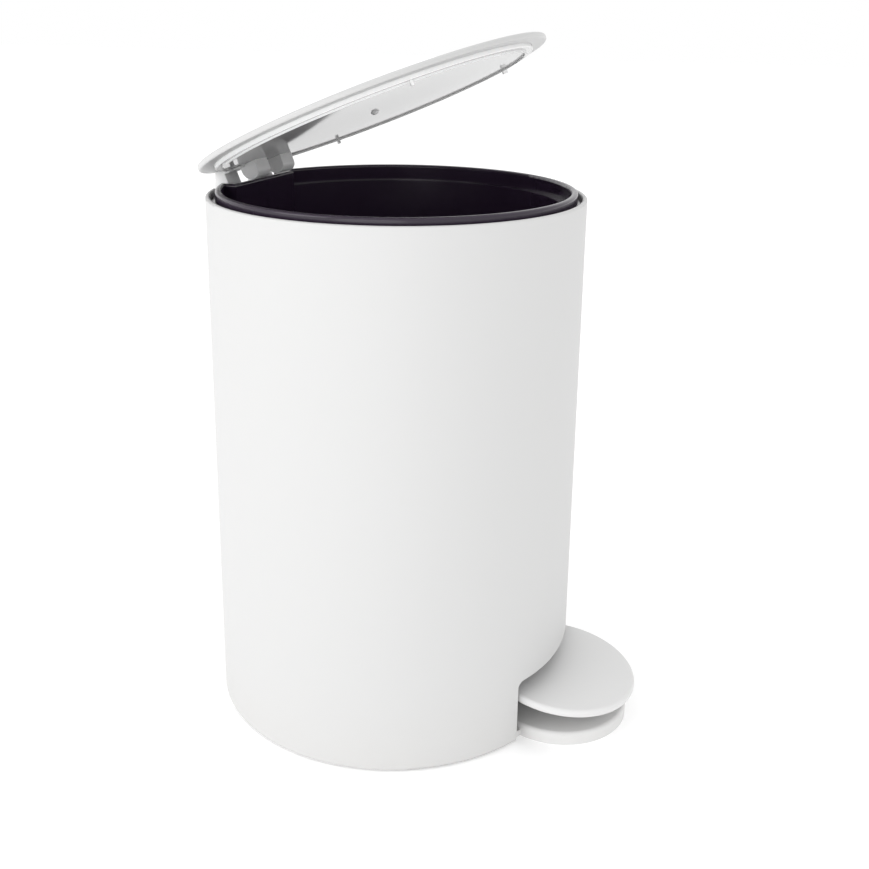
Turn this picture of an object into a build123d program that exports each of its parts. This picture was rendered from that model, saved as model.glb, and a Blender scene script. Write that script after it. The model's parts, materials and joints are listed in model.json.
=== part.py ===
"""Round pedal trash can: a tapered plastic body, a lift-out bucket and a lid that a foot pedal opens.

The can stands on the plane Z = 0 with its axis on Z. The pedal is at the front (-Y) and the lid's
hinge is at the back (+Y), with its pin along X. The lid is drawn part open and the pedal part
pressed, and both are placed by the planes lid_section and pedal_plane. Sizes are in millimetres.
"""
import os
from math import cos, radians, sin, sqrt, tan

from build123d import *

os.makedirs("parts", exist_ok=True)

# Body
body_height = 239.0
body_top_radius = 85.0
body_taper = 1.3
body_wall = 2.2
body_rim_radius = 0.9
body_foot_round = 1.6
floor_gap = 0.5
ledge_depth = 4.0
ledge_width = 2.2
ledge_height = 3.0

# Pedal opening in the front wall
opening_width = 72.4
opening_height = 30.2
opening_corner = 3.0

# Base plate and the step in front of it
base_thickness = 3.0
base_fit = 0.3
base_rib_radius = 58.0
base_rib_width = 2.0
base_rib_height = 2.4
step_height = 6.0
step_radius = 31.6
step_round = 1.6
boss_inset = 8.0
boss_radius = 4.5
boss_height = 20.0
boss_web = 3.0
boss_angles = (20, 160, 200, 340)
base_screw_radius = 1.6
base_screw_length = 15.0
base_screw_head_radius = 3.4
base_screw_head_height = 1.8

# Bucket
bucket_floor = 36.0
bucket_floor_inset = 14.5
bucket_wall = 1.5
bucket_floor_round = 8.0
bucket_channel_width = 48.0
bucket_rod_gap = 2.3
shoulder_step = 1.8
collar_inset = 5.0
collar_drop = 5.0
lip_width = 3.0
lip_above_rim = 2.6
lip_round = 1.2
flange_thickness = 1.6
flange_fit = 0.25

# Lid
lid_open_angle = 23.3
lid_inset = 3.0
lid_gap = 5.8
lid_edge = 2.6
lid_rise = 5.5
lid_wall = 1.5
lid_edge_round = 1.1
liner_inset = 7.0
liner_recess = 0.6
liner_thickness = 1.2
liner_fit = 0.2
liner_ledge = 1.6
ring_inset = 3.6
ring_width = 1.3
ring_drop = 1.7
tab_count = 4
tab_start_angle = 45.0
tab_thickness = 1.5
tab_reach = 2.6
tab_drop = 3.2
gate_size = 3.2
gate_depth = 0.4

# Hinge
hinge_below_rim = 7.0
hinge_pin_radius = 1.5
hinge_pin_head_radius = 2.6
hinge_pin_head = 1.2
hinge_pin_end_gap = 0.3
pin_running_fit = 0.06
pin_press_fit = 0.02
bracket_width = 50.4
bracket_fit = 0.2
cheek_inner = 6.6
cheek_width = 1.9
cheek_radius = 2.8
notch_depth = 18.0
bracket_top_drop = 12.6
bracket_reach = 2.0
bracket_plate_drop = 34.0
bracket_plate_width = 30.0
bracket_screw_drop = 26.0
bracket_screw_angle = 6.2
bracket_screw_length = 4.4
bracket_screw_radius = 1.5
bracket_screw_head_radius = 3.0
bracket_screw_head = 1.6
bracket_screw_head_taper = 20.0

# Lid arms
arm_width = 11.0
arm_spacing = 29.0
arm_eye_radius = 2.6
arm_lip_gap = 0.6
leg_top_inset = 4.0
hook_reach = 30.3
hook_depth = 14.6
hook_drop = 6.4
hook_round = 5.0
crank_length = 8.0
crank_low_angle = 35.0
crank_pin_radius = 1.5
crank_boss_radius = 2.2

# Push rod
rod_radius = 2.0
rod_wall_gap = 8.0
rod_head_width = 12.0
rod_head_depth = 4.6
rod_head_height = 5.0
rod_head_socket = 3.2
rod_foot_radius = 4.5
rod_foot_height = 8.0
rod_foot_socket = 5.0
rod_foot_round = 1.8
contact_gap = 0.3
guide_heights = (70.0, 160.0)
guide_width = 16.0
guide_thickness = 8.0
guide_reach = 3.0
guide_fit = 0.05

# Pedal
pedal_radius = 35.2
pedal_thickness = 3.8
pedal_round = 1.5
pedal_wall_gap = 0.5
pedal_under = 17.7
pedal_tilt = 7.0
pedal_screw_spacing = 18.0
pedal_screw_radius = 1.5
pedal_screw_head_radius = 3.0
pedal_screw_head = 1.8
pedal_screw_bite = 2.6

# Pedal lever and its pivot
pivot_y = -20.0
pivot_height = 18.0
pivot_pin_radius = 2.5
pivot_clip_radius = 4.6
pivot_clip = 1.2
lever_width = 30.0
lever_sheet = 2.5
lever_reach = 21.8
lever_bend = -27.0
lever_tip_reach = 4.0
lever_tip_width = 16.0
lever_tip_height = 14.0
lever_tip_flat = 11.0
lever_hub_radius = 5.5
flange_front = -62.0
flange_back = 36.0
flange_end_height = 5.0
ear_gap = 0.5
ear_width = 4.0
ear_radius = 6.0
ear_foot = 22.0

# Values worked out from the sizes above
rim = body_height
body_foot_radius = body_top_radius - body_taper
inner_top_radius = body_top_radius - body_wall
inner_foot_radius = body_foot_radius - body_wall
boss_circle = inner_foot_radius - boss_inset
rod_y = inner_foot_radius - rod_wall_gap
hinge_back = rod_y + crank_length
hinge_z = rim - hinge_below_rim
ledge_z = rim - ledge_depth
collar_z = rim - collar_drop
lip_top = rim + lip_above_rim
collar_radius = inner_top_radius - collar_inset
bucket_shoulder_radius = collar_radius - shoulder_step
bucket_floor_radius = inner_foot_radius - bucket_floor_inset
bucket_flat = rod_y - rod_radius - bucket_rod_gap
cavity_flat = bucket_flat - bucket_wall
lip_flat = cavity_flat + lip_width
bracket_front = hinge_back - bracket_reach
guide_front = rod_y - guide_reach
pedal_back = body_foot_radius + pedal_wall_gap
lever_front = -pedal_back - lever_reach
lever_tip = rod_y + lever_tip_reach
arm_inner = arm_spacing / 2 - arm_width / 2
arm_outer = arm_inner + arm_width
hinge_pin_half = arm_outer + hinge_pin_end_gap
crank_angle = radians(lid_open_angle - crank_low_angle)
crank_z = hinge_z + crank_length * sin(crank_angle)
rod_head_top = crank_z - crank_pin_radius - contact_gap
rod_foot_bottom = lever_tip_height + contact_gap

# Radii of the lid's parts, and their heights above the hinge pin when the lid is closed
lid_radius = body_top_radius - lid_inset
liner_radius = lid_radius - liner_inset
ring_radius = liner_radius - ring_inset
lid_rim_bottom = hinge_below_rim + lid_gap
lid_top = lid_rim_bottom + lid_edge + lid_rise
liner_bottom = lid_rim_bottom + liner_recess
liner_top = liner_bottom + liner_thickness
ring_bottom = liner_bottom - ring_drop
arm_over_lip = hinge_below_rim + lip_above_rim + arm_lip_gap
arm_back_top = lid_rim_bottom - liner_fit


def wall_radius(z):
    """Outer radius of the tapered body at height z."""
    taper = (body_top_radius - body_foot_radius) / (rim - floor_gap)
    return body_foot_radius + (z - floor_gap) * taper


def dome_height(r, wall=0.0):
    """Height of the lid's dome, or of its inside with a wall taken off, at radius r."""
    edge = lid_radius - lid_edge_round
    sphere = (edge * edge + lid_rise * lid_rise) / (2 * lid_rise)
    return lid_top - wall - sphere + sqrt(sphere * sphere - r * r)


# Planes of the open lid: lid_back runs in the lid towards the hinge, lid_up is square to the lid.
lid_back = Vector(0, cos(radians(lid_open_angle)), -sin(radians(lid_open_angle)))
lid_up = Vector(0, sin(radians(lid_open_angle)), cos(radians(lid_open_angle)))
hinge_point = Vector(0, hinge_back, hinge_z)
lid_centre = hinge_point - lid_back * hinge_back
lid_axis = Axis(lid_centre, lid_up)
lid_section = Plane(origin=lid_centre, x_dir=(1, 0, 0), z_dir=-lid_back)
lid_level = Plane(origin=lid_centre, x_dir=(1, 0, 0), z_dir=lid_up)


def lid_side(x):
    """Plane square to the hinge pin at x, with its origin on the pin and its X axis towards the back."""
    return Plane(origin=hinge_point + Vector(x, 0, 0), x_dir=lid_back, z_dir=(1, 0, 0))


# Plane of the pedal's underside, tipped down at the front
pedal_up = Vector(0, -sin(radians(pedal_tilt)), cos(radians(pedal_tilt)))
pedal_plane = Plane(origin=(0, -pedal_back, pedal_under), x_dir=(1, 0, 0), z_dir=pedal_up)


def pedal_line(y):
    """Height of the pedal's underside plane at y."""
    return pedal_under + (y + pedal_back) * tan(radians(pedal_tilt))


def side_plane(x):
    """Upright plane square to X, with Y across and Z up."""
    return Plane.YZ.offset(x)


def bracket_screw_plane(side):
    """Plane square to a bracket screw, with its origin on the can's axis."""
    turn = radians(bracket_screw_angle)
    return Plane(
        origin=(0, 0, rim - bracket_screw_drop),
        x_dir=(cos(turn), -side * sin(turn), 0),
        z_dir=(side * sin(turn), cos(turn), 0),
    )


# Outer body: a tapered wall with an inner ledge, the pedal opening, the hinge notch and screw bosses
with BuildPart() as outer_body:
    with BuildSketch(Plane.XZ) as wall_profile:
        with BuildLine() as wall_line:
            ledge_radius = inner_top_radius - ledge_width
            slope_end = ledge_z - ledge_height - ledge_width
            Polyline(
                (wall_radius(floor_gap), floor_gap),
                (wall_radius(rim), rim),
                (inner_top_radius, rim),
                (inner_top_radius, ledge_z),
                (ledge_radius, ledge_z),
                (ledge_radius, ledge_z - ledge_height),
                (wall_radius(slope_end) - body_wall, slope_end),
                (wall_radius(floor_gap) - body_wall, floor_gap),
                close=True,
            )
        make_face()
        top_corners = wall_profile.vertices().group_by(Axis.Y)[-1]
        fillet(top_corners, radius=body_rim_radius)
        foot_corner = wall_profile.vertices().group_by(Axis.Y)[0].sort_by(Axis.X)[-1]
        fillet(foot_corner, radius=body_foot_round)
    revolve(axis=Axis.Z)
    for angle in boss_angles:
        turned = Plane(
            origin=(0, 0, base_thickness),
            x_dir=(cos(radians(angle)), sin(radians(angle)), 0),
            z_dir=(0, 0, 1),
        )
        with BuildSketch(turned):
            with Locations((boss_circle, 0)):
                Circle(boss_radius)
            web_end = wall_radius(floor_gap) - body_wall / 2
            with Locations(((boss_circle + web_end) / 2, 0)):
                Rectangle(web_end - boss_circle, boss_web)
        extrude(amount=boss_height)
        with BuildSketch(turned):
            with Locations((boss_circle, 0)):
                Circle(base_screw_radius + pin_press_fit)
        extrude(amount=base_screw_length, mode=Mode.SUBTRACT)
    with BuildSketch(Plane.XZ) as opening_profile:
        with Locations((0, opening_height / 2)):
            Rectangle(opening_width, opening_height)
        fillet(opening_profile.vertices().group_by(Axis.Y)[-1], radius=opening_corner)
    extrude(amount=2 * body_top_radius, mode=Mode.SUBTRACT)
    with BuildSketch(Plane.XZ):
        with Locations((0, rim - notch_depth / 2 + body_wall / 2)):
            Rectangle(bracket_width + 2 * bracket_fit, notch_depth + body_wall)
    extrude(amount=-2 * body_top_radius, mode=Mode.SUBTRACT)
    for side in (-1, 1):
        with BuildSketch(bracket_screw_plane(side)):
            Circle(bracket_screw_radius + pin_press_fit)
        extrude(amount=2 * body_top_radius, mode=Mode.SUBTRACT)
outer_body.part.label = "outer_body"
export_step(outer_body.part, "parts/outer_body.step")

# Base plate: closes the body's foot, carries the lever's pivot and reaches out as the pedal's step
ear_inner = lever_width / 2 + ear_gap
with BuildPart() as base_plate:
    plate_radius = wall_radius(floor_gap) - body_wall - base_fit
    with BuildSketch():
        with Locations((0, -pedal_back)):
            Circle(step_radius)
    extrude(amount=step_height)
    step_rim = base_plate.edges().group_by(Axis.Z)[-1]
    fillet(step_rim, radius=step_round)
    with BuildSketch():
        Circle(plate_radius)
    extrude(amount=base_thickness)
    with BuildSketch(Plane.XY.offset(base_thickness)):
        Circle(base_rib_radius)
        Circle(base_rib_radius - base_rib_width, mode=Mode.SUBTRACT)
    extrude(amount=base_rib_height)
    for side in (-1, 1):
        ear_x = side * (ear_inner + ear_width / 2) - ear_width / 2
        with BuildSketch(side_plane(ear_x)):
            with BuildLine():
                Polyline(
                    (pivot_y - ear_foot / 2, base_thickness / 2),
                    (pivot_y + ear_foot / 2, base_thickness / 2),
                    (pivot_y + ear_radius, pivot_height),
                    (pivot_y - ear_radius, pivot_height),
                    close=True,
                )
            make_face()
            with Locations((pivot_y, pivot_height)):
                Circle(ear_radius)
                Circle(pivot_pin_radius + pin_press_fit, mode=Mode.SUBTRACT)
        extrude(amount=ear_width)
    for angle in boss_angles:
        with Locations(
            Location((boss_circle * cos(radians(angle)), boss_circle * sin(radians(angle)), 0), (180, 0, 0))
        ):
            CounterBoreHole(
                radius=base_screw_radius + pin_press_fit,
                counter_bore_radius=base_screw_head_radius + pin_press_fit,
                counter_bore_depth=base_screw_head_height,
                depth=base_thickness,
            )
base_plate.part.label = "base_plate"
export_step(base_plate.part, "parts/base_plate.step")

# Base screws: four screws up through the base plate into the body's bosses
with BuildPart() as base_screws:
    for angle in boss_angles:
        spot = (boss_circle * cos(radians(angle)), boss_circle * sin(radians(angle)))
        with BuildSketch():
            with Locations(spot):
                Circle(base_screw_head_radius)
        extrude(amount=base_screw_head_height)
        with BuildSketch(Plane.XY.offset(base_screw_head_height)):
            with Locations(spot):
                Circle(base_screw_radius)
        extrude(amount=base_screw_length)
base_screws.part.label = "base_screws"
export_step(base_screws.part, "parts/base_screws.step")

# Bucket: hangs by its flange on the body's ledge, with a channel at the back for the push rod and hinge
with BuildPart() as bucket_rim:
    with BuildSketch(Plane.XZ):
        with BuildLine():
            flange_radius = inner_top_radius - flange_fit
            collar_outside = collar_radius + bucket_wall
            lip_outside = collar_radius + lip_width
            Polyline(
                (0, collar_z - bucket_wall),
                (collar_outside, collar_z - bucket_wall),
                (collar_outside, ledge_z),
                (flange_radius, ledge_z),
                (flange_radius, ledge_z + flange_thickness),
                (lip_outside, ledge_z + flange_thickness),
                (lip_outside, lip_top),
                (0, lip_top),
                close=True,
            )
        make_face()
    revolve(axis=Axis.Z)
    with BuildSketch(Plane.XY.offset(bucket_floor)):
        with Locations((0, lip_flat + body_top_radius / 2)):
            Rectangle(bucket_channel_width, body_top_radius)
    extrude(amount=rim, mode=Mode.SUBTRACT)

with BuildPart() as bucket_cavity:
    with BuildSketch(Plane.XZ) as cavity_profile:
        with BuildLine():
            Polyline(
                (0, bucket_floor + bucket_wall),
                (bucket_floor_radius - bucket_wall, bucket_floor + bucket_wall),
                (bucket_shoulder_radius - bucket_wall, collar_z),
                (collar_radius, collar_z),
                (collar_radius, lip_top + bucket_wall),
                (0, lip_top + bucket_wall),
                close=True,
            )
        make_face()
        floor_corner = cavity_profile.vertices().group_by(Axis.Y)[0].sort_by(Axis.X)[-1]
        fillet(floor_corner, radius=bucket_floor_round - bucket_wall)
    revolve(axis=Axis.Z)
    with BuildSketch(Plane.XY.offset(bucket_floor)):
        with Locations((0, cavity_flat + body_top_radius / 2)):
            Rectangle(bucket_channel_width + 2 * lip_width, body_top_radius)
    extrude(amount=rim, mode=Mode.SUBTRACT)

with BuildPart() as inner_bucket:
    with BuildSketch(Plane.XZ) as bucket_profile:
        with BuildLine():
            Polyline(
                (0, bucket_floor),
                (bucket_floor_radius, bucket_floor),
                (bucket_shoulder_radius, collar_z),
                (0, collar_z),
                close=True,
            )
        make_face()
        outer_floor_corner = bucket_profile.vertices().group_by(Axis.Y)[0].sort_by(Axis.X)[-1]
        fillet(outer_floor_corner, radius=bucket_floor_round)
    revolve(axis=Axis.Z)
    with BuildSketch(Plane.XY.offset(bucket_floor)):
        with Locations((0, bucket_flat + body_top_radius / 2)):
            Rectangle(bucket_channel_width, body_top_radius)
    extrude(amount=rim, mode=Mode.SUBTRACT)
    add(bucket_rim.part)
    add(bucket_cavity.part, mode=Mode.SUBTRACT)
    lip_edges = inner_bucket.edges().group_by(Axis.Z)[-1]
    fillet(lip_edges, radius=lip_round)
inner_bucket.part.label = "inner_bucket"
export_step(inner_bucket.part, "parts/inner_bucket.step")

# Hinge bracket: fills the foot of the notch in the body's rim and holds the hinge pin in two cheeks
with BuildPart() as hinge_bracket:
    with BuildSketch(Plane.XY.offset(rim - notch_depth)):
        with BuildLine():
            half = bracket_width / 2
            outer = wall_radius(rim - notch_depth)
            corner = sqrt(outer * outer - half * half)
            Polyline((-half, corner), (-half, bracket_front), (half, bracket_front), (half, corner))
            ThreePointArc((half, corner), (0, outer), (-half, corner))
        make_face()
    extrude(amount=notch_depth - bracket_top_drop)
    with BuildSketch(Plane.XY.offset(rim - bracket_plate_drop)):
        with BuildLine():
            half = bracket_plate_width / 2
            inner = wall_radius(rim - bracket_plate_drop) - body_wall - guide_fit
            corner = sqrt(inner * inner - half * half)
            Polyline((-half, corner), (-half, bracket_front), (half, bracket_front), (half, corner))
            ThreePointArc((half, corner), (0, inner), (-half, corner))
        make_face()
    extrude(amount=bracket_plate_drop - notch_depth)
    for side in (-1, 1):
        cheek_x = side * (cheek_inner + cheek_width / 2) - cheek_width / 2
        with BuildSketch(side_plane(cheek_x)):
            with BuildLine():
                Polyline(
                    (bracket_front, rim - notch_depth),
                    (hinge_back + cheek_radius, rim - notch_depth),
                    (hinge_back + cheek_radius, hinge_z),
                    (hinge_back - cheek_radius, hinge_z),
                    (bracket_front, rim - bracket_top_drop),
                    close=True,
                )
            make_face()
            with Locations((hinge_back, hinge_z)):
                Circle(cheek_radius)
                Circle(hinge_pin_radius + pin_press_fit, mode=Mode.SUBTRACT)
        extrude(amount=cheek_width)
    for side in (-1, 1):
        with BuildSketch(bracket_screw_plane(side)):
            Circle(bracket_screw_radius + pin_press_fit)
        extrude(amount=2 * body_top_radius, mode=Mode.SUBTRACT)
hinge_bracket.part.label = "hinge_bracket"
export_step(hinge_bracket.part, "parts/hinge_bracket.step")

# Bracket screws: pan heads on the back of the body, shanks through the wall into the bracket's plate
with BuildPart() as hinge_bracket_screws:
    seat = wall_radius(rim - bracket_screw_drop) + pin_press_fit
    for side in (-1, 1):
        with BuildSketch(bracket_screw_plane(side).offset(seat)):
            Circle(bracket_screw_head_radius)
        extrude(amount=bracket_screw_head, taper=bracket_screw_head_taper)
        with BuildSketch(bracket_screw_plane(side).offset(seat - bracket_screw_length)):
            Circle(bracket_screw_radius)
        extrude(amount=bracket_screw_length)
hinge_bracket_screws.part.label = "hinge_bracket_screws"
export_step(hinge_bracket_screws.part, "parts/hinge_bracket_screws.step")

# Hinge pin: headed at one end and held by a push-on clip at the other
with BuildPart() as hinge_pin:
    with BuildSketch(side_plane(-hinge_pin_half)):
        with Locations((hinge_back, hinge_z)):
            Circle(hinge_pin_radius)
    extrude(amount=2 * hinge_pin_half + 2 * hinge_pin_head)
    with BuildSketch(side_plane(-hinge_pin_half)):
        with Locations((hinge_back, hinge_z)):
            Circle(hinge_pin_head_radius)
    extrude(amount=-hinge_pin_head)
hinge_pin.part.label = "hinge_pin"
export_step(hinge_pin.part, "parts/hinge_pin.step")

with BuildPart() as hinge_pin_clip:
    with BuildSketch(side_plane(hinge_pin_half)):
        with Locations((hinge_back, hinge_z)):
            Circle(hinge_pin_head_radius)
            Circle(hinge_pin_radius + pin_press_fit, mode=Mode.SUBTRACT)
    extrude(amount=hinge_pin_head)
hinge_pin_clip.part.label = "hinge_pin_clip"
export_step(hinge_pin_clip.part, "parts/hinge_pin_clip.step")

# Lid cover: a shallow dome with a thick rim and a recess for the liner
with BuildPart() as lid_cover:
    with BuildSketch(lid_section) as cover_profile:
        with BuildLine():
            edge_radius = lid_radius - lid_edge_round
            edge_top = lid_rim_bottom + lid_edge
            recess = liner_radius + liner_fit
            seat_radius = liner_radius - liner_ledge
            ThreePointArc(
                (edge_radius, edge_top),
                (edge_radius / 2, dome_height(edge_radius / 2)),
                (0, lid_top),
            )
            Line((0, lid_top), (0, lid_top - lid_wall))
            ThreePointArc(
                (0, lid_top - lid_wall),
                (seat_radius / 2, dome_height(seat_radius / 2, lid_wall)),
                (seat_radius, dome_height(seat_radius, lid_wall)),
            )
            Polyline(
                (seat_radius, dome_height(seat_radius, lid_wall)),
                (seat_radius, liner_top),
                (recess, liner_top),
                (recess, lid_rim_bottom),
                (lid_radius, lid_rim_bottom),
                (lid_radius, edge_top),
                (edge_radius, edge_top),
            )
        make_face()
        rim_corners = cover_profile.vertices().group_by(Axis.X)[-1]
        fillet(rim_corners, radius=0.9 * lid_edge_round)
    revolve(axis=lid_axis)
lid_cover.part.label = "lid_cover"
export_step(lid_cover.part, "parts/lid_cover.step")

# Lid liner: the plate under the lid, with its ring rib, four locating tabs and the moulding's gate mark
with BuildPart() as lid_liner:
    with BuildSketch(lid_section):
        with BuildLine():
            ring_outside = ring_radius + ring_width / 2
            ring_inside = ring_radius - ring_width / 2
            Polyline(
                (0, liner_top),
                (liner_radius, liner_top),
                (liner_radius, liner_bottom),
                (ring_outside, liner_bottom),
                (ring_outside, ring_bottom),
                (ring_inside, ring_bottom),
                (ring_inside, liner_bottom),
                (0, liner_bottom),
                close=True,
            )
        make_face()
    revolve(axis=lid_axis)
    with BuildSketch(lid_level.offset(ring_bottom - tab_drop)):
        with PolarLocations(ring_radius + tab_reach / 2, tab_count, start_angle=tab_start_angle):
            Rectangle(tab_reach + ring_width, tab_thickness)
    extrude(amount=tab_drop + ring_drop)
    with BuildSketch(lid_level.offset(ring_bottom)):
        with Locations((0, ring_radius)):
            Rectangle(2 * arm_outer + 2 * liner_fit, ring_radius / 4)
    extrude(amount=ring_drop, mode=Mode.SUBTRACT)
    with BuildSketch(lid_level.offset(liner_bottom)):
        Rectangle(gate_size, gate_size, rotation=45)
    extrude(amount=gate_depth, mode=Mode.SUBTRACT)
lid_liner.part.label = "lid_liner"
export_step(lid_liner.part, "parts/lid_liner.step")

# Lid arms: each has a rounded lug under the liner, reaches back over the bucket's lip, turns on the
# hinge pin and carries an end of the crank pin
crank_back = -crank_length * cos(radians(crank_low_angle))
crank_drop = -crank_length * sin(radians(crank_low_angle))
pad_end = sqrt(liner_radius**2 - arm_outer**2) - liner_fit - hinge_back
hook_middle = hook_depth / 2 - hook_reach
hook_root = hook_depth - hook_reach - hook_round
for name, start in (("hinge_arm_left", -arm_outer), ("hinge_arm_right", arm_inner)):
    with BuildPart() as hinge_arm:
        with BuildSketch(lid_side(start)) as arm_profile:
            with Locations((hook_middle, liner_bottom - hook_drop / 2)):
                Rectangle(hook_depth, hook_drop)
            fillet(arm_profile.vertices().group_by(Axis.Y)[0], radius=hook_round)
            with BuildLine():
                Polyline(
                    (hook_root, liner_bottom),
                    (pad_end, liner_bottom),
                    (pad_end, arm_back_top),
                    (-leg_top_inset, arm_back_top),
                    (arm_eye_radius, 0),
                    (0, -arm_eye_radius),
                    (crank_back, crank_drop - crank_boss_radius),
                    (crank_back - crank_boss_radius, crank_drop),
                    (crank_back - crank_boss_radius, arm_over_lip),
                    (hook_root, arm_over_lip),
                    close=True,
                )
            make_face()
            Circle(arm_eye_radius)
            Circle(hinge_pin_radius + pin_running_fit, mode=Mode.SUBTRACT)
            with Locations((crank_back, crank_drop)):
                Circle(crank_boss_radius)
                Circle(crank_pin_radius + pin_press_fit, mode=Mode.SUBTRACT)
        extrude(amount=arm_width)
    hinge_arm.part.label = name
    export_step(hinge_arm.part, f"parts/{name}.step")

with BuildPart() as crank_pin:
    with BuildSketch(lid_side(-arm_outer)):
        with Locations((crank_back, crank_drop)):
            Circle(crank_pin_radius)
    extrude(amount=2 * arm_outer)
crank_pin.part.label = "crank_pin"
export_step(crank_pin.part, "parts/crank_pin.step")

# Push rod with a flat head under the crank pin and a rounded foot on the lever's tip
rod_bottom = rod_foot_bottom + rod_foot_height - rod_foot_socket
rod_top = rod_head_top - rod_head_height + rod_head_socket
with BuildPart() as push_rod:
    with BuildSketch(Plane.XY.offset(rod_bottom)):
        with Locations((0, rod_y)):
            Circle(rod_radius)
    extrude(amount=rod_top - rod_bottom)
push_rod.part.label = "push_rod"
export_step(push_rod.part, "parts/push_rod.step")

with BuildPart() as rod_head:
    with BuildSketch(Plane.XY.offset(rod_head_top - rod_head_height)) as head_outline:
        with Locations((0, rod_y)):
            Rectangle(rod_head_width, rod_head_depth)
        fillet(head_outline.vertices(), radius=rod_head_depth / 4)
    extrude(amount=rod_head_height)
    with BuildSketch(Plane.XY.offset(rod_head_top - rod_head_height)):
        with Locations((0, rod_y)):
            Circle(rod_radius + pin_press_fit)
    extrude(amount=rod_head_socket, mode=Mode.SUBTRACT)
rod_head.part.label = "rod_head"
export_step(rod_head.part, "parts/rod_head.step")

with BuildPart() as rod_foot:
    with BuildSketch(Plane.XY.offset(rod_foot_bottom)):
        with Locations((0, rod_y)):
            Circle(rod_foot_radius)
    extrude(amount=rod_foot_height)
    foot_rim = rod_foot.edges().group_by(Axis.Z)[0]
    fillet(foot_rim, radius=rod_foot_round)
    with BuildSketch(Plane.XY.offset(rod_bottom)):
        with Locations((0, rod_y)):
            Circle(rod_radius + pin_press_fit)
    extrude(amount=rod_foot_socket, mode=Mode.SUBTRACT)
rod_foot.part.label = "rod_foot"
export_step(rod_foot.part, "parts/rod_foot.step")

# Rod guides: two blocks on the inside of the back wall
for name, height in zip(("rod_guide_lower", "rod_guide_upper"), guide_heights):
    with BuildPart() as rod_guide:
        with BuildSketch(Plane.XY.offset(height)):
            guide_length = body_top_radius - guide_front
            with Locations((0, guide_front + guide_length / 2)):
                Rectangle(guide_width, guide_length)
            with Locations((0, rod_y)):
                Circle(rod_radius + pin_running_fit, mode=Mode.SUBTRACT)
        extrude(amount=guide_thickness)
        with BuildSketch(Plane.XZ):
            with BuildLine():
                seat_gap = body_wall + guide_fit
                Polyline(
                    (0, floor_gap),
                    (wall_radius(floor_gap) - seat_gap, floor_gap),
                    (wall_radius(rim) - seat_gap, rim),
                    (0, rim),
                    close=True,
                )
            make_face()
        revolve(axis=Axis.Z, mode=Mode.INTERSECT)
    rod_guide.part.label = name
    export_step(rod_guide.part, f"parts/{name}.step")

# Pedal pad: a round plate that stands half out of the body
with BuildPart() as pedal_pad:
    with BuildSketch(pedal_plane):
        Circle(pedal_radius)
    extrude(amount=pedal_thickness)
    fillet(pedal_pad.edges().filter_by(GeomType.CIRCLE), radius=pedal_round)
    with BuildSketch(pedal_plane):
        with GridLocations(1, pedal_screw_spacing, 1, 2):
            Circle(pedal_screw_radius + pin_press_fit)
    extrude(amount=pedal_screw_bite, mode=Mode.SUBTRACT)
pedal_pad.part.label = "pedal_pad"
export_step(pedal_pad.part, "parts/pedal_pad.step")


def lever_line(y):
    """Height of the lever's top behind its bend, at y."""
    bend_z = pedal_line(lever_bend)
    run = lever_tip - lever_tip_flat - lever_bend
    return bend_z + (lever_tip_height - bend_z) * (y - lever_bend) / run


# Pedal lever: a pressed steel channel from the pad, over its pivot, to a flat tip under the push rod
with BuildPart() as pedal_lever:
    with BuildSketch(side_plane(-lever_width / 2)):
        with BuildLine():
            flat_start = lever_tip - lever_tip_flat
            Polyline(
                (lever_front, pedal_line(lever_front)),
                (lever_bend, pedal_line(lever_bend)),
                (flat_start, lever_tip_height),
                (lever_tip, lever_tip_height),
                (lever_tip, lever_tip_height - lever_sheet),
                (flat_start, lever_tip_height - lever_sheet),
                (lever_bend, pedal_line(lever_bend) - lever_sheet),
                (lever_front, pedal_line(lever_front) - lever_sheet),
                close=True,
            )
        make_face()
    extrude(amount=lever_width)
    for start in (-lever_width / 2, lever_width / 2 - lever_sheet):
        with BuildSketch(side_plane(start)):
            with BuildLine():
                Polyline(
                    (flange_front, pedal_line(flange_front) - lever_sheet / 2),
                    (lever_bend, pedal_line(lever_bend) - lever_sheet / 2),
                    (flange_back, lever_line(flange_back) - lever_sheet / 2),
                    (flange_back, lever_line(flange_back) - flange_end_height),
                    (pivot_y + lever_hub_radius, pivot_height - lever_hub_radius / 2),
                    (pivot_y - lever_hub_radius, pivot_height - lever_hub_radius / 2),
                    (flange_front, pedal_line(flange_front) - flange_end_height),
                    close=True,
                )
            make_face()
            with Locations((pivot_y, pivot_height)):
                Circle(lever_hub_radius)
                Circle(pivot_pin_radius + pin_running_fit, mode=Mode.SUBTRACT)
        extrude(amount=lever_sheet)
    with BuildSketch():
        with BuildLine():
            Polyline(
                (-lever_width / 2, lever_front),
                (lever_width / 2, lever_front),
                (lever_width / 2, flange_back),
                (lever_tip_width / 2, lever_tip),
                (-lever_tip_width / 2, lever_tip),
                (-lever_width / 2, flange_back),
                close=True,
            )
        make_face()
    extrude(amount=opening_height + pedal_radius, mode=Mode.INTERSECT)
    with BuildSketch(pedal_plane):
        with GridLocations(1, pedal_screw_spacing, 1, 2):
            Circle(pedal_screw_radius + pin_press_fit)
    extrude(amount=-2 * lever_sheet, mode=Mode.SUBTRACT)
pedal_lever.part.label = "pedal_lever"
export_step(pedal_lever.part, "parts/pedal_lever.step")

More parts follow.
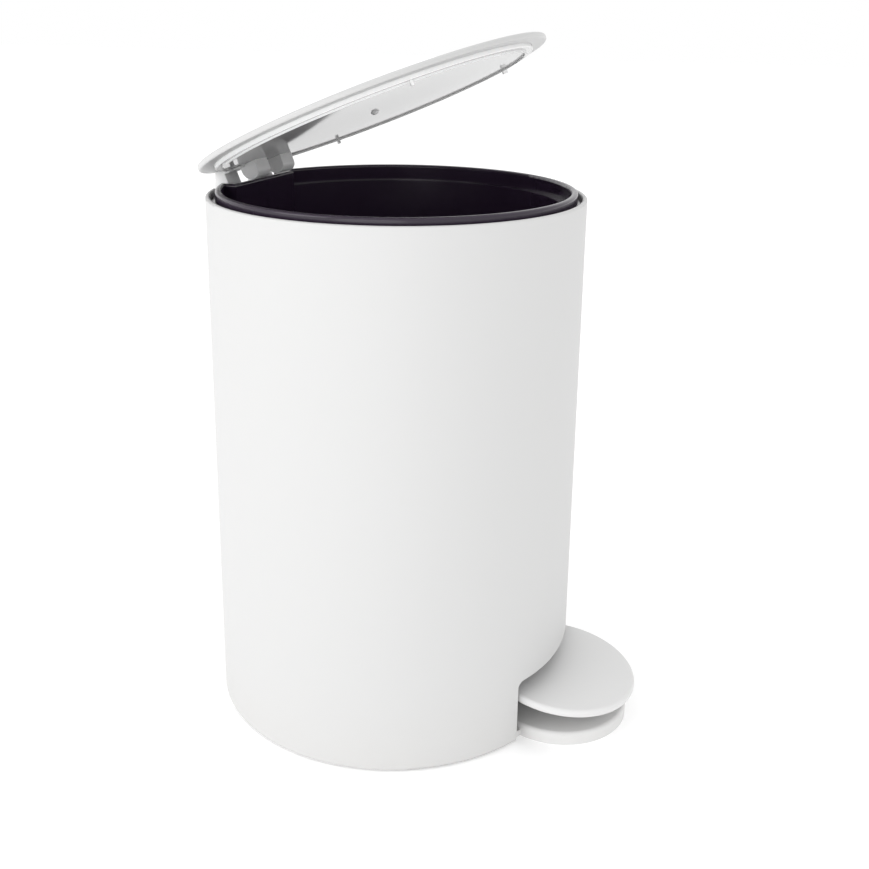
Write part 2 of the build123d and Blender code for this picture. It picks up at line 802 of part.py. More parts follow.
# Pedal screws: two screws up through the lever into the pad
with BuildPart() as pedal_screws:
    with BuildSketch(pedal_plane.offset(-lever_sheet)):
        with GridLocations(1, pedal_screw_spacing, 1, 2):
            Circle(pedal_screw_radius)
    extrude(amount=lever_sheet + pedal_screw_bite)
    with BuildSketch(pedal_plane.offset(-lever_sheet)):
        with GridLocations(1, pedal_screw_spacing, 1, 2):
            Circle(pedal_screw_head_radius)
    extrude(amount=-pedal_screw_head)
pedal_screws.part.label = "pedal_screws"
export_step(pedal_screws.part, "parts/pedal_screws.step")

# Pivot pin through the base plate's ears, with a clip at each end
ear_outer = ear_inner + ear_width
with BuildPart() as pedal_pivot_pin:
    with BuildSketch(side_plane(-ear_outer - 2 * pivot_clip)):
        with Locations((pivot_y, pivot_height)):
            Circle(pivot_pin_radius)
    extrude(amount=2 * ear_outer + 4 * pivot_clip)
pedal_pivot_pin.part.label = "pedal_pivot_pin"
export_step(pedal_pivot_pin.part, "parts/pedal_pivot_pin.step")

with BuildPart() as pedal_pivot_clips:
    for start in (-ear_outer - pivot_clip, ear_outer):
        with BuildSketch(side_plane(start)):
            with Locations((pivot_y, pivot_height)):
                Circle(pivot_clip_radius)
                Circle(pivot_pin_radius + pin_press_fit, mode=Mode.SUBTRACT)
        extrude(amount=pivot_clip)
pedal_pivot_clips.part.label = "pedal_pivot_clips"
export_step(pedal_pivot_clips.part, "parts/pedal_pivot_clips.step")
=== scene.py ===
# %% [markdown]
# # A round pedal trash can
# The can stands on the floor with its pedal towards -Y and the lid's hinge towards +Y. Its working
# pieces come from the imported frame. This lesson gives each piece its finish, models the lid's liner,
# the hinge arms and the screws in finer form, and sets up the camera and the studio light.

# %% Load the frame
import json
from math import cos, pi, radians, sin

import bmesh
import bpy
from mathutils import Matrix, Vector


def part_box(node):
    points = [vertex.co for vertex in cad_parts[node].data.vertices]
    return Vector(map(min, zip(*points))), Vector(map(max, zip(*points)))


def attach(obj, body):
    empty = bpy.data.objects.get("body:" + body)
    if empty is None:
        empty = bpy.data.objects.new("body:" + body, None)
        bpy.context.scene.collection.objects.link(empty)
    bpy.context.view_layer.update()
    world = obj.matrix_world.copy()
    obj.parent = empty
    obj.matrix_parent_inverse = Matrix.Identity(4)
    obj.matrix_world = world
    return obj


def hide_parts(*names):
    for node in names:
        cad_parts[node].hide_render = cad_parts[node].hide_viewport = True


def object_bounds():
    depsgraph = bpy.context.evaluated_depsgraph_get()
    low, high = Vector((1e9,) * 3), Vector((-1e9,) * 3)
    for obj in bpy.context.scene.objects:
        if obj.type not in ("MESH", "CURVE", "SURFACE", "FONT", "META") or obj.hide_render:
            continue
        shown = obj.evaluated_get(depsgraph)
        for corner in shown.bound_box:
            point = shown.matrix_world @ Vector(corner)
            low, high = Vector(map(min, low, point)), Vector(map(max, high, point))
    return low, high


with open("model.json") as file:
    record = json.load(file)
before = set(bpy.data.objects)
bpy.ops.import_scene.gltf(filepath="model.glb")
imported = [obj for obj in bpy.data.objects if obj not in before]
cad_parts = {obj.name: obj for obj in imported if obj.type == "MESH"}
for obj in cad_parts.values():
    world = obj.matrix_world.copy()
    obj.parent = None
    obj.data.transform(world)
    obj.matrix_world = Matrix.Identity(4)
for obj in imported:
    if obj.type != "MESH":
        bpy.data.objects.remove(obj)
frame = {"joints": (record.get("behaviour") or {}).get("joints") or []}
cad_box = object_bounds()

# %% [markdown]
# ## The camera
# The can is seen from its left side, a little towards the front, from above the rim, so the pedal
# shows on the right and the hinge on the left. The camera is aimed with two turns and a small roll. A
# lens shift moves the picture the rest of the way, because more pitch would make the upright walls lean.

# %% Place the camera
image_size = 869
camera_turn = radians(23.8)
camera_distance = 0.508
camera_height = 0.3167
camera_yaw = 0.0342
camera_pitch = radians(14.31)
camera_roll = radians(0.714)
focal_pixels = 1134.65
shift_pixels = -130
sensor_width = 36.0
nearest_view = 0.01


def make_camera():
    """The camera faces the can's axis, turned to the right by its yaw and down by its pitch."""
    data = bpy.data.cameras.new("camera")
    data.sensor_width = sensor_width
    data.lens = sensor_width * focal_pixels / image_size
    data.shift_y = shift_pixels / image_size
    data.clip_start = nearest_view
    camera = bpy.data.objects.new("camera", data)
    heading = camera_turn - camera_yaw
    level = Vector((cos(heading), sin(heading), 0))
    look = level * cos(camera_pitch) - Vector((0, 0, sin(camera_pitch)))
    aim = look.to_track_quat("-Z", "Y").to_matrix()
    camera.matrix_world = (aim @ Matrix.Rotation(camera_roll, 3, "Z")).to_4x4()
    camera.location = (
        -camera_distance * cos(camera_turn),
        -camera_distance * sin(camera_turn),
        camera_height,
    )
    bpy.context.scene.collection.objects.link(camera)
    bpy.context.scene.camera = camera
    return camera


camera = make_camera()
print("camera at", [round(x, 3) for x in camera.location], "lens", round(camera.data.lens, 1))

# %% [markdown]
# ## Shader maths
# A finish is easier to read as a sum than as a chain of nodes, so a small class wraps a socket and
# turns the arithmetic signs into Math nodes. Any other node comes from one method, which sets the
# node's options first and then its inputs.


# %% A socket that can be added and multiplied
class Value:
    """A number that changes over a surface, kept as the output socket of a node."""

    def __init__(self, finish, socket):
        self.finish = finish
        self.socket = socket

    def math(self, operation, first, second):
        node = self.finish.node("ShaderNodeMath", {"operation": operation}, {0: first, 1: second})
        return Value(self.finish, node.outputs["Value"])

    def __add__(self, other):
        return self.math("ADD", self, other)

    def __sub__(self, other):
        return self.math("SUBTRACT", self, other)

    def __rsub__(self, other):
        return self.math("SUBTRACT", other, self)

    def __mul__(self, other):
        return self.math("MULTIPLY", self, other)

    __radd__ = __add__
    __rmul__ = __mul__


# %% A finish with its nodes
# A Mix node's sockets for numbers, vectors and colours share their names, so its colours go by place.
mix_first = 6
mix_second = 7
mix_result = 2


class Finish:
    """A material with one principled shader, and short ways to add nodes before it."""

    def __init__(self, name):
        self.material = bpy.data.materials.new(name)
        self.material.use_nodes = True
        self.tree = self.material.node_tree
        self.shader = self.tree.nodes["Principled BSDF"]
        self.place = self.node("ShaderNodeTexCoord", {}, {}).outputs["Object"]

    def node(self, kind, settings, inputs):
        node = self.tree.nodes.new(kind)
        for name, value in settings.items():
            setattr(node, name, value)
        for name, value in inputs.items():
            self.feed(node.inputs[name], value)
        return node

    def feed(self, socket, value):
        value = value.socket if isinstance(value, Value) else value
        if isinstance(value, bpy.types.NodeSocket):
            self.tree.links.new(value, socket)
        else:
            socket.default_value = value

    def noise(self, scale, detail=3.0, stretch=(1, 1, 1)):
        where = self.node("ShaderNodeMapping", {}, {"Vector": self.place, "Scale": stretch})
        inputs = {"Vector": where.outputs["Vector"], "Scale": scale, "Detail": detail}
        node = self.node("ShaderNodeTexNoise", {}, inputs)
        return Value(self, node.outputs["Fac"])

    def ramp(self, value, start, end):
        """A smooth change from 0 where the value is at its start to 1 where it is at its end."""
        inputs = {"Value": value, "From Min": start, "From Max": end}
        node = self.node("ShaderNodeMapRange", {"interpolation_type": "SMOOTHSTEP"}, inputs)
        return Value(self, node.outputs["Result"])

    def vector_math(self, operation, *vectors):
        return self.node("ShaderNodeVectorMath", {"operation": operation}, dict(enumerate(vectors)))

    def height(self, up=(0, 0, 1)):
        """The height above the origin, along a direction of length 1."""
        along = self.vector_math("DOT_PRODUCT", self.place, up)
        return Value(self, along.outputs["Value"])

    def from_axis(self, point, axis):
        """The distance from an axis, which is given by a point on it and a direction of length 1."""
        offset = self.vector_math("SUBTRACT", self.place, point)
        across = self.vector_math("CROSS_PRODUCT", offset.outputs["Vector"], axis)
        away = self.vector_math("LENGTH", across.outputs["Vector"])
        return Value(self, away.outputs["Value"])

    def mix(self, factor, first, second):
        inputs = {"Factor": factor, mix_first: first, mix_second: second}
        node = self.node("ShaderNodeMix", {"data_type": "RGBA"}, inputs)
        return node.outputs[mix_result]

    def bump(self, height, strength, distance):
        inputs = {"Height": height, "Strength": strength, "Distance": distance}
        return self.node("ShaderNodeBump", {}, inputs).outputs["Normal"]

    def set(self, **sockets):
        """Feeds the shader's sockets by their names, with underscores for spaces."""
        for name, value in sockets.items():
            self.feed(self.shader.inputs[name.replace("_", " ").title()], value)
        return self

    def put_on(self, *names):
        for name in names:
            piece = bpy.data.objects[name]
            piece.data.materials.clear()
            piece.data.materials.append(self.material)


def shade(tone, factor=1.0):
    """A colour with its alpha, darkened or lightened by a factor."""
    return [min(1.0, part * factor) for part in tone] + [1]


# %% [markdown]
# ## White plastics
# The body, the base and the pedal are matte white mouldings with the fine even texture that a spark
# eroded mould leaves. Towards the foot they are darkened a little in patches, a painted shade where the
# floor shades them. The lid comes from a smoother mould. One function makes all four, because they
# differ only in their shade of white, their sheen, the depth of the texture and the painted shade at the
# foot.

# %% Matte and satin white
foot_shade_colour = (0.60, 0.58, 0.55)
foot_shade_height = 0.045
foot_shade_scale = 55.0
cloud_scale = 9.0
cloud_shade = 0.985
cloud_roughness = 0.10
grain_scale = 1900.0
grain_roughness = 0.08
grain_strength = 0.25
noise_middle = 0.5


def white_plastic(name, tone, sheen_roughness, grain_depth, foot_shade):
    finish = Finish(name)
    cloud = finish.noise(cloud_scale, detail=4.0)
    grain = finish.noise(grain_scale, detail=2.0)
    # Darker in patches towards the foot: a painted shade where the floor shades the white.
    low = finish.ramp(finish.height(), foot_shade_height, 0.0) * foot_shade
    painted_foot_shade = low * finish.noise(foot_shade_scale, detail=5.0)
    unshaded_white = finish.mix(cloud, shade(tone, cloud_shade), shade(tone))
    colour = finish.mix(painted_foot_shade, unshaded_white, shade(foot_shade_colour))
    clouded = cloud_roughness * (cloud - noise_middle)
    roughness = sheen_roughness + clouded + grain_roughness * (grain - noise_middle)
    normal = finish.bump(grain, grain_strength, grain_depth)
    return finish.set(base_color=colour, roughness=roughness, normal=normal)


# The four whites are one plastic, set lighter or darker piece by piece to match how the light falls on
# each: painted light and shade.
body_finish = white_plastic(
    "body_white", tone=(0.615, 0.615, 0.613), sheen_roughness=0.50, grain_depth=0.00006, foot_shade=0.25
)
base_finish = white_plastic(
    "base_white", tone=(0.72, 0.72, 0.718), sheen_roughness=0.52, grain_depth=0.00006, foot_shade=0.30
)
pedal_finish = white_plastic(
    "pedal_white", tone=(0.72, 0.72, 0.718), sheen_roughness=0.46, grain_depth=0.00005, foot_shade=0.10
)
lid_finish = white_plastic(
    "lid_white", tone=(0.56, 0.56, 0.558), sheen_roughness=0.34, grain_depth=0.00003, foot_shade=0.0
)
body_finish.put_on("outer_body", "hinge_bracket")
base_finish.put_on("base_plate")
pedal_finish.put_on("pedal_pad")
lid_finish.put_on("lid_cover")
print("white plastics:", body_finish.material.name, lid_finish.material.name)

# %% [markdown]
# ## The glossy mouldings
# The bucket is black with a trace of purple, polished, and softly clouded where bags have rubbed it.
# The hinge arms, the rod's guides and its two ends are the plain pale plastic of small tough mouldings.
# Both kinds share one function: a slow wave stands for the unevenness of a polished mould, and patches
# of a second noise stand for the rubbed places.

# %% Black bucket and pale hinge plastic
wave_scale = 14.0
wave_roughness = 0.02
wave_strength = 0.06
wave_depth = 0.0004
rub_scale = 38.0
rub_share = 0.3
rub_shade = 1.2
patch_low = 0.45
patch_high = 0.75


def gloss_plastic(name, tone, gloss, marks):
    finish = Finish(name)
    wave = finish.noise(wave_scale, detail=2.0)
    rubbed = finish.ramp(finish.noise(rub_scale, detail=4.0), patch_low, patch_high)
    colour = finish.mix(rubbed * rub_share, shade(tone), shade(tone, rub_shade))
    roughness = gloss + marks * rubbed + wave_roughness * wave
    normal = finish.bump(wave, wave_strength, wave_depth)
    return finish.set(base_color=colour, roughness=roughness, normal=normal)


bucket_finish = gloss_plastic("bucket_black", tone=(0.0240, 0.0150, 0.0300), gloss=0.15, marks=0.05)
# The pale tone is set high so that the lugs show light in the lid's shade: painted light.
hinge_finish = gloss_plastic("hinge_pale", tone=(0.80, 0.80, 0.80), gloss=0.36, marks=0.10)
guide_finish = gloss_plastic("guide_natural", tone=(0.72, 0.72, 0.70), gloss=0.42, marks=0.10)
bucket_finish.put_on("inner_bucket")
guide_finish.put_on("rod_guide_lower", "rod_guide_upper", "rod_head", "rod_foot")
print("gloss plastics:", bucket_finish.material.name, hinge_finish.material.name)

# %% [markdown]
# ## Pieces of the lid
# The lid's pieces are easiest to draw as if the lid were shut, with heights measured from the hinge pin
# and depths measured back from it. One matrix then carries them to the part-open lid.

# %% From the shut lid to the open one
lid_joint = next(joint for joint in frame["joints"] if joint["name"] == "lid_hinge")
pin_place = Vector(lid_joint["pos_m"])
lid_angle = radians(-lid_joint["range_deg"][0])
lid_back = Vector((0, cos(lid_angle), -sin(lid_angle)))
lid_up = Vector((0, sin(lid_angle), cos(lid_angle)))
lid_turn = Matrix((Vector((1, 0, 0)), lid_back, lid_up)).transposed()
lid_place = Matrix.Translation(pin_place) @ lid_turn.to_4x4()
lid_middle = Vector((0, -pin_place.y, 0))
print("lid opened by", round(-lid_joint["range_deg"][0], 1), "degrees, pin at", list(lid_joint["pos_m"]))

# %% From a bmesh to a finished piece
sharp_angle = radians(35)


def add_piece(name, bm, finish, body, node):
    """Makes a finished piece of a bmesh: it rides on a body and stands for a node of the frame."""
    mesh = bpy.data.meshes.new(name)
    bm.to_mesh(mesh)
    bm.free()
    mesh.shade_smooth()
    mesh.set_sharp_from_angle(angle=sharp_angle)
    piece = bpy.data.objects.new(name, mesh)
    bpy.context.scene.collection.objects.link(piece)
    finish.put_on(name)
    piece.modifiers.new("flat_faces", "WEIGHTED_NORMAL").keep_sharp = True
    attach(piece, body)
    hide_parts(node)
    print(name, "on", body, len(mesh.polygons), "faces")


def vertices(items):
    """The vertices among the mixed elements that a bmesh operator returns."""
    return [item for item in items if isinstance(item, bmesh.types.BMVert)]


# %% [markdown]
# ## The plate under the lid
# The plate is white and glossy, so at a low angle it mirrors the black bucket beside the hinge. Its low
# ring, its four small tabs, its gate and its edge are less glossy than its face, and are painted paler as
# painted light where the lid shades them. One material serves them all: it tells what hangs below the
# face by its height, and the edge by its distance from the lid's middle.

# %% White liner with painted light on its ribs
plate_bottom = 0.0112
plate_top = 0.0146
plate_radius = 0.075
plate_chamfer = 0.0004
plate_shine = 0.15
plate_wave_scale = 16.0
plate_wave_roughness = 0.03
plate_wave_strength = 0.05
rib_start = 0.00005
rib_roughness = 0.35


def liner_plastic(name, plate_tone, rib_painted_light_tone, gloss):
    finish = Finish(name)
    wave = finish.noise(plate_wave_scale, detail=2.0)
    height = finish.height(lid_up) - lid_up.dot(pin_place)
    # The ring, tabs, gate and edge are painted paler than the plate: painted light where the lid shades
    # them.
    rib = finish.ramp(height, plate_bottom - rib_start, plate_bottom - 2 * rib_start)
    reach = finish.from_axis(lid_place @ lid_middle, lid_up)
    edge = finish.ramp(reach, plate_radius - 2 * plate_chamfer, plate_radius - plate_chamfer)
    painted_light_mask = rib + edge
    colour = finish.mix(painted_light_mask, shade(plate_tone), shade(rib_painted_light_tone))
    roughness = gloss + plate_wave_roughness * wave + rib_roughness * painted_light_mask
    normal = finish.bump(wave, plate_wave_strength, wave_depth)
    finish.shader.inputs["Specular IOR Level"].default_value = plate_shine
    return finish.set(base_color=colour, roughness=roughness, normal=normal)


liner_finish = liner_plastic(
    "liner_with_painted_light", plate_tone=(0.60, 0.60, 0.60), rib_painted_light_tone=(0.90, 0.90, 0.90), gloss=0.04
)
print("liner plastic:", liner_finish.material.name)

# %% [markdown]
# ## The liner's shape
# The plate and the stub of its gate are outlines spun about the lid's middle. The ring is a small
# section, spun short of a full turn to leave room for the hinge lugs. Each tab is a block turned about
# the same middle. What hangs from the plate starts a little inside it, so that no gap shows.

# %% Plate, ring, tabs and gate
plate_steps = 128
ring_steps = 120
ring_radius = 0.0714
ring_width = 0.0010
ring_drop = 0.0008
ring_gap = radians(16.5)
tab_size = (0.0026, 0.0011, 0.0024)
tab_shift = tab_size[0] / 4
tab_angles = [radians(angle) for angle in (43, 137, 218.5, 321.5)]
gate_steps = 20
gate_radius = 0.0022
gate_tip_radius = gate_radius / 2
gate_drop = 0.0011
sunk = 0.0002
merge_distance = 1e-6


def spin_outline(bm, outline, steps):
    """Spins an outline of radii and heights about the Z axis."""
    points = [bm.verts.new((radius, 0, height)) for radius, height in outline]
    lines = [bm.edges.new(pair) for pair in zip(points, points[1:])]
    bmesh.ops.spin(
        bm, geom=points + lines, cent=(0, 0, 0), axis=(0, 0, 1), angle=2 * pi, steps=steps, use_merge=True
    )
    bmesh.ops.remove_doubles(bm, verts=bm.verts, dist=merge_distance)


def spin_ring(bm, top):
    """Spins the ring's section about the Z axis, with the gap towards the hinge."""
    inner = ring_radius - ring_width / 2
    section = ((0, -ring_drop), (ring_width, -ring_drop), (ring_width, sunk), (0, sunk))
    corners = [bm.verts.new((inner + out, 0, top + up)) for out, up in section]
    face = bm.faces.new(corners)
    bmesh.ops.rotate(bm, matrix=Matrix.Rotation(pi / 2 + ring_gap, 3, "Z"), verts=corners)
    bmesh.ops.spin(
        bm, geom=[face], cent=(0, 0, 0), axis=(0, 0, 1), angle=2 * (pi - ring_gap), steps=ring_steps
    )


def add_tab(bm, top, angle):
    block = bmesh.ops.create_cube(bm, size=1)["verts"]
    bmesh.ops.scale(bm, vec=tab_size, verts=block)
    middle = Vector((ring_radius + tab_shift, 0, top + sunk - tab_size[2] / 2))
    bmesh.ops.translate(bm, vec=middle, verts=block)
    bmesh.ops.rotate(bm, matrix=Matrix.Rotation(angle, 3, "Z"), verts=block)


def make_liner():
    bm = bmesh.new()
    low = plate_bottom
    plate = (
        (0, plate_top),
        (plate_radius, plate_top),
        (plate_radius, low + plate_chamfer),
        (plate_radius - plate_chamfer, low),
        (0, low),
    )
    tip = low - gate_drop
    gate = ((0, low + sunk), (gate_radius, low + sunk), (gate_tip_radius, tip), (0, tip))
    spin_outline(bm, plate, plate_steps)
    spin_outline(bm, gate, gate_steps)
    spin_ring(bm, low)
    for angle in tab_angles:
        add_tab(bm, low, angle)
    bmesh.ops.recalc_face_normals(bm, faces=bm.faces)
    bmesh.ops.translate(bm, vec=lid_middle, verts=bm.verts)
    bmesh.ops.transform(bm, matrix=lid_place, verts=bm.verts)
    add_piece("liner_with_ring", bm, liner_finish, "lid", "lid_liner")


make_liner()

# %% [markdown]
# ## Hinge arms
# Each arm hangs from the plate as a thumb-shaped lug that dips into the bucket's mouth. Behind the lug a
# bar reaches over the bucket's lip to a leg that turns on the pin. Lug and bar are each drawn as a side
# view: one face, whose corners are rounded by a bevel on vertices, is pulled out to its width, and the
# edges of both its sides are softened.

# %% A rounded block from its side view
corner_segments = 10
edge_round = 0.0004
edge_segments = 3


def pull_side_view(bm, side_view, inner, width):
    """Adds a block to a bmesh: its side view lists each corner's depth, height and round, or 0."""
    corners = [bm.verts.new((inner, back, up)) for back, up, _ in side_view]
    face = bm.faces.new(corners)
    for corner, (_, _, size) in zip(corners, side_view):
        if size:
            made = bmesh.ops.bevel(
                bm, geom=[corner], offset=size, offset_type="OFFSET", affect="VERTICES",
                segments=corner_segments, profile=0.5, material=-1,
            )
            face = made["verts"][0].link_faces[0]
    pulled = bmesh.ops.extrude_face_region(bm, geom=[face])["geom"]
    bmesh.ops.translate(bm, vec=(width, 0, 0), verts=vertices(pulled))
    far_face = next(item for item in pulled if isinstance(item, bmesh.types.BMFace))
    bmesh.ops.bevel(
        bm, geom=[*face.edges, *far_face.edges], offset=edge_round, offset_type="OFFSET", affect="EDGES",
        segments=edge_segments, profile=0.5, material=-1,
    )


# %% Lugs, bars and legs
arm_inner = 0.009
arm_width = 0.011
lug_inner = 0.006
lug_width = 0.011
lug_front = -0.0245
lug_rear = -0.0157
lug_tip = 0.0034
lug_front_round = 0.0036
lug_rear_round = 0.0050
bar_overlap = 0.003
bar_front = lug_rear - bar_overlap
bar_under = 0.0102
bar_top = 0.0126
bar_end = -0.0040
plate_end = -0.0094
leg_front = -0.00875
leg_low = -0.0046
leg_round = 0.0014
pin_wall = 0.0026
pin_round = 0.0012
crank_back = -0.00655
crank_low = -0.0068
lug_view = (
    (lug_front, plate_bottom + sunk, 0),
    (lug_rear, plate_bottom + sunk, 0),
    (lug_rear, lug_tip, lug_rear_round),
    (lug_front, lug_tip, lug_front_round),
)
arm_view = (
    (bar_front, plate_bottom, 0),
    (plate_end, plate_bottom, 0),
    (plate_end, bar_top, 0),
    (bar_end, bar_top, 0),
    (pin_wall, 0, pin_round),
    (0, -pin_wall, pin_round),
    (crank_back, crank_low, leg_round),
    (leg_front, leg_low, leg_round),
    (leg_front, bar_under, 0),
    (bar_front, bar_under, 0),
)


def make_arm(name, node, side):
    bm = bmesh.new()
    pull_side_view(bm, lug_view, side * lug_inner, side * lug_width)
    pull_side_view(bm, arm_view, side * arm_inner, side * arm_width)
    bmesh.ops.recalc_face_normals(bm, faces=bm.faces)
    bmesh.ops.transform(bm, matrix=lid_place, verts=bm.verts)
    add_piece(name, bm, hinge_finish, "lid", node)


make_arm("hinge_lug_left", "hinge_arm_left", -1)
make_arm("hinge_lug_right", "hinge_arm_right", 1)

# %% [markdown]
# ## Plated steel
# The lever is pressed from sheet and the rod and pins are drawn wire, all with a thin bright plating.
# Fine lines run along the metal's length, and the roughness follows them. A noise that is stretched
# along one axis draws such lines without a texture map.

# %% Sheet and wire
line_scale = 900.0
line_roughness = 0.14
line_strength = 0.12
line_depth = 0.00004
bloom_scale = 45.0
bloom_shade = 0.82
bloom_roughness = 0.12
line_stretch = 0.03


def plated_steel(name, tone, stretch, base_roughness):
    finish = Finish(name)
    lines = finish.noise(line_scale, stretch=stretch)
    bloom = finish.ramp(finish.noise(bloom_scale, detail=4.0), patch_low, patch_high)
    colour = finish.mix(bloom, shade(tone), shade(tone, bloom_shade))
    roughness = base_roughness + line_roughness * lines + bloom_roughness * bloom
    normal = finish.bump(lines, line_strength, line_depth)
    return finish.set(base_color=colour, metallic=1.0, roughness=roughness, normal=normal)


lever_finish = plated_steel(
    "lever_steel", tone=(0.60, 0.60, 0.61), stretch=(1, line_stretch, 1), base_roughness=0.26
)
rod_finish = plated_steel(
    "rod_steel", tone=(0.64, 0.64, 0.65), stretch=(1, 1, line_stretch), base_roughness=0.20
)
pin_finish = plated_steel(
    "pin_steel", tone=(0.64, 0.64, 0.65), stretch=(line_stretch, 1, 1), base_roughness=0.20
)
lever_finish.put_on("pedal_lever")
rod_finish.put_on("push_rod")
pin_finish.put_on("hinge_pin", "hinge_pin_clip", "crank_pin", "pedal_pivot_pin", "pedal_pivot_clips")
print("steels:", lever_finish.material.name, rod_finish.material.name, pin_finish.material.name)

# %% [markdown]
# ## Screws
# The screws hold the base, the pedal and the hinge bracket, and show from below and at the can's back. A
# real head has a cross recess for the driver. The outline of head and shank is spun about the screw's
# axis, a grid of nine squares loses its corners and is sunk as the cross, and one fill closes the face.

# %% A cross-head screw
spin_steps = 24
face_share = 0.86
rim_share = 0.3
cross_share = 0.56
slot_share = 0.6
recess_share = 0.6
recess_taper = 0.7


def cross_head_screw(head_radius, head_height, shank_radius, length):
    """A screw along +Z with the face of its head at the origin."""
    bm = bmesh.new()
    outline = (
        (face_share * head_radius, 0),
        (head_radius, rim_share * head_height),
        (head_radius, head_height),
        (shank_radius, head_height),
        (shank_radius, length - shank_radius),
        (0, length),
    )
    spin_outline(bm, outline, spin_steps)
    half = cross_share * head_radius
    corners = bmesh.ops.create_grid(bm, x_segments=3, y_segments=3, size=half)["verts"]
    squares = {face for corner in corners for face in corner.link_faces}
    middles = {face: face.calc_center_median() for face in squares}
    outer = [face for face in squares if min(abs(middles[face].x), abs(middles[face].y)) > half / 3]
    cross = [face for face in squares if face not in outer]
    bmesh.ops.delete(bm, geom=outer, context="FACES")
    corners = [corner for corner in corners if corner.is_valid]
    near_x = [corner for corner in corners if abs(corner.co.x) < half / 2]
    near_y = [corner for corner in corners if abs(corner.co.y) < half / 2]
    bmesh.ops.scale(bm, vec=(slot_share, 1, 1), verts=near_x)
    bmesh.ops.scale(bm, vec=(1, slot_share, 1), verts=near_y)
    bottom = vertices(bmesh.ops.extrude_face_region(bm, geom=cross)["geom"])
    bmesh.ops.translate(bm, vec=(0, 0, recess_share * head_height), verts=bottom)
    bmesh.ops.scale(bm, vec=(recess_taper, recess_taper, 1), verts=bottom)
    bmesh.ops.delete(bm, geom=[face for face in cross if face.is_valid], context="FACES")
    rims = [edge for edge in bm.edges if edge.is_boundary]
    bmesh.ops.triangle_fill(bm, edges=rims, use_beauty=True, normal=(0, 0, -1))
    bmesh.ops.recalc_face_normals(bm, faces=bm.faces)
    return bm


# %% A group of screws
screw_finish = plated_steel(
    "screw_steel", tone=(0.62, 0.62, 0.63), stretch=(1, 1, 1), base_roughness=0.22
)


def make_screws(node, body, places, **sizes):
    """One piece that stands for a node's screws, each at a point of its head's face and along an axis."""
    bm = cross_head_screw(**sizes)
    pattern = bm.verts[:] + bm.edges[:] + bm.faces[:]
    for point, axis in places:
        turn = Vector(axis).to_track_quat("Z", "Y").to_matrix().to_4x4()
        copy = bmesh.ops.duplicate(bm, geom=pattern)["geom"]
        bmesh.ops.transform(bm, matrix=Matrix.Translation(point) @ turn, verts=vertices(copy))
    bmesh.ops.delete(bm, geom=vertices(pattern), context="VERTS")
    add_piece(node + "_cross_head", bm, screw_finish, body, node)


# %% Screws of the base
base_head = 0.0034
base_low, base_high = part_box("base_screws")
base_length = base_high.z - base_low.z
base_x = base_high.x - base_head
base_y = base_high.y - base_head
base_places = [((x, y, base_low.z), (0, 0, 1)) for x in (-base_x, base_x) for y in (-base_y, base_y)]
make_screws(
    "base_screws", "bin", base_places,
    head_radius=base_head, head_height=0.0018, shank_radius=0.0016, length=base_length,
)

# %% Screws of the pedal
pedal_tilt = radians(7.0)
pedal_up = Vector((0, -sin(pedal_tilt), cos(pedal_tilt)))
pedal_along = Vector((0, cos(pedal_tilt), sin(pedal_tilt)))
pad_low, pad_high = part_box("pedal_pad")
pad_half = 0.0019
lever_sheet = 0.0025
pedal_head = 0.0018
pedal_step = 0.009
pedal_face = (pad_low + pad_high) / 2 - pedal_up * (pad_half + lever_sheet + pedal_head)
pedal_places = [(pedal_face + pedal_along * step, pedal_up) for step in (-pedal_step, pedal_step)]
make_screws(
    "pedal_screws", "pedal", pedal_places,
    head_radius=0.0030, head_height=pedal_head, shank_radius=0.0015, length=0.0069,
)

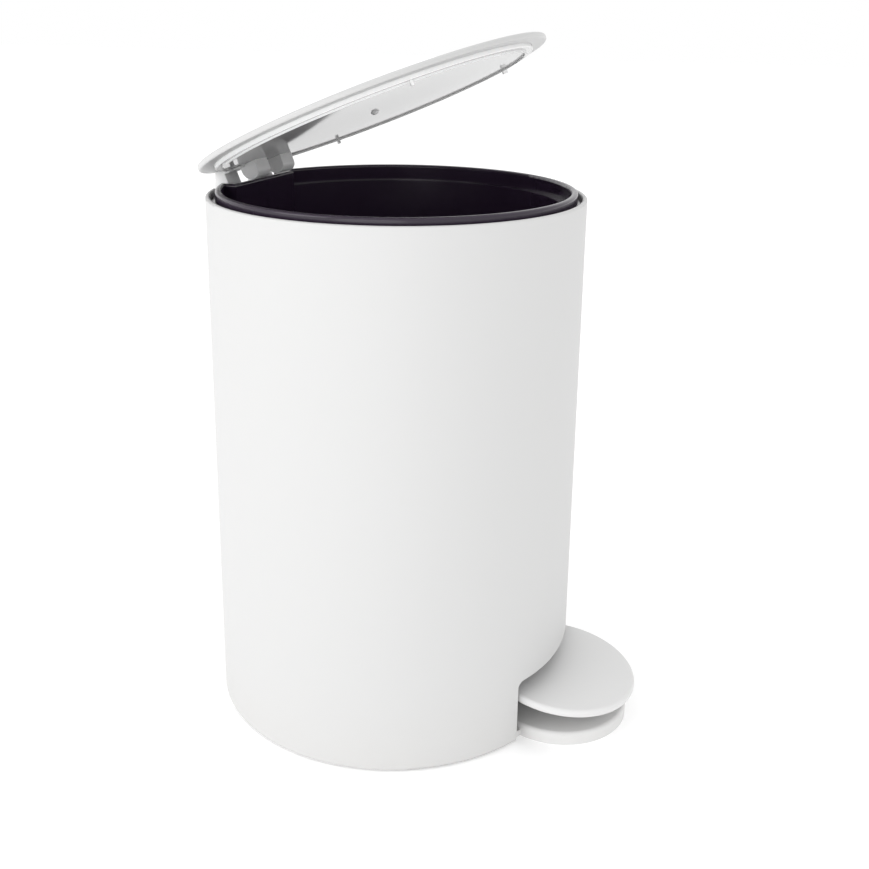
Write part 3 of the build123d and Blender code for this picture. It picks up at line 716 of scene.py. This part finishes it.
# %% Screws of the hinge bracket
bracket_low, bracket_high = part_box("hinge_bracket_screws")
bracket_angle = radians(6.2)
bracket_z = (bracket_low.z + bracket_high.z) / 2
bracket_face = 0.0865
bracket_places = []
for side in (-1, 1):
    outward = Vector((side * sin(bracket_angle), cos(bracket_angle), 0))
    bracket_places.append((outward * bracket_face + Vector((0, 0, bracket_z)), -outward))
make_screws(
    "hinge_bracket_screws", "bin", bracket_places,
    head_radius=0.0030, head_height=0.0016, shank_radius=0.0015, length=0.0060,
)

# %% [markdown]
# ## Studio
# A white can on white needs light that wraps. A white surround gives most of it. A broad soft key from
# the left of the camera shapes the body, a weak top light lifts the lid, and a low fill reaches under it.
# The floor glows a little, as a lit sweep of paper does, so that it runs out to white.

# %% Floor
paper_scale = 30.0
paper_shade = 0.99
paper_roughness = 0.9


def make_floor(size, tone, glow):
    mesh = bpy.data.meshes.new("floor")
    bm = bmesh.new()
    bmesh.ops.create_grid(bm, x_segments=1, y_segments=1, size=size)
    bm.to_mesh(mesh)
    bm.free()
    floor = bpy.data.objects.new("floor", mesh)
    bpy.context.scene.collection.objects.link(floor)
    paper = Finish("floor_paper")
    colour = paper.mix(paper.noise(paper_scale), shade(tone), shade(tone, paper_shade))
    paper.set(base_color=colour, roughness=paper_roughness)
    paper.set(emission_color=(1, 1, 1, 1), emission_strength=glow)
    floor.data.materials.append(paper.material)
    print("floor", 2 * size, "m wide")


make_floor(size=8.0, tone=(0.90, 0.90, 0.90), glow=0.20)


# %% Lights and surround
def make_light(name, place, target, size, power):
    data = bpy.data.lights.new(name, "AREA")
    data.shape = "DISK"
    data.size = size
    data.energy = power
    light = bpy.data.objects.new(name, data)
    light.location = place
    light.rotation_euler = (Vector(target) - Vector(place)).to_track_quat("-Z", "Y").to_euler()
    bpy.context.scene.collection.objects.link(light)
    print("light", name, power, "W")


can_middle = (cad_box[0] + cad_box[1]) / 2
make_light("key", place=(-1.5, 1.15, 0.9), target=can_middle, size=1.4, power=10)
make_light("top", place=(0.2, 0.2, 2.2), target=can_middle, size=2.0, power=3)
make_light("fill", place=(-1.35, -0.2, 0.12), target=can_middle, size=1.0, power=3.2)
world = bpy.data.worlds.new("studio")
world.use_nodes = True
surround = world.node_tree.nodes["Background"]
surround.inputs["Color"].default_value = (1, 1, 1, 1)
surround.inputs["Strength"].default_value = 1.0
bpy.context.scene.world = world
bpy.context.scene.view_settings.view_transform = "Standard"
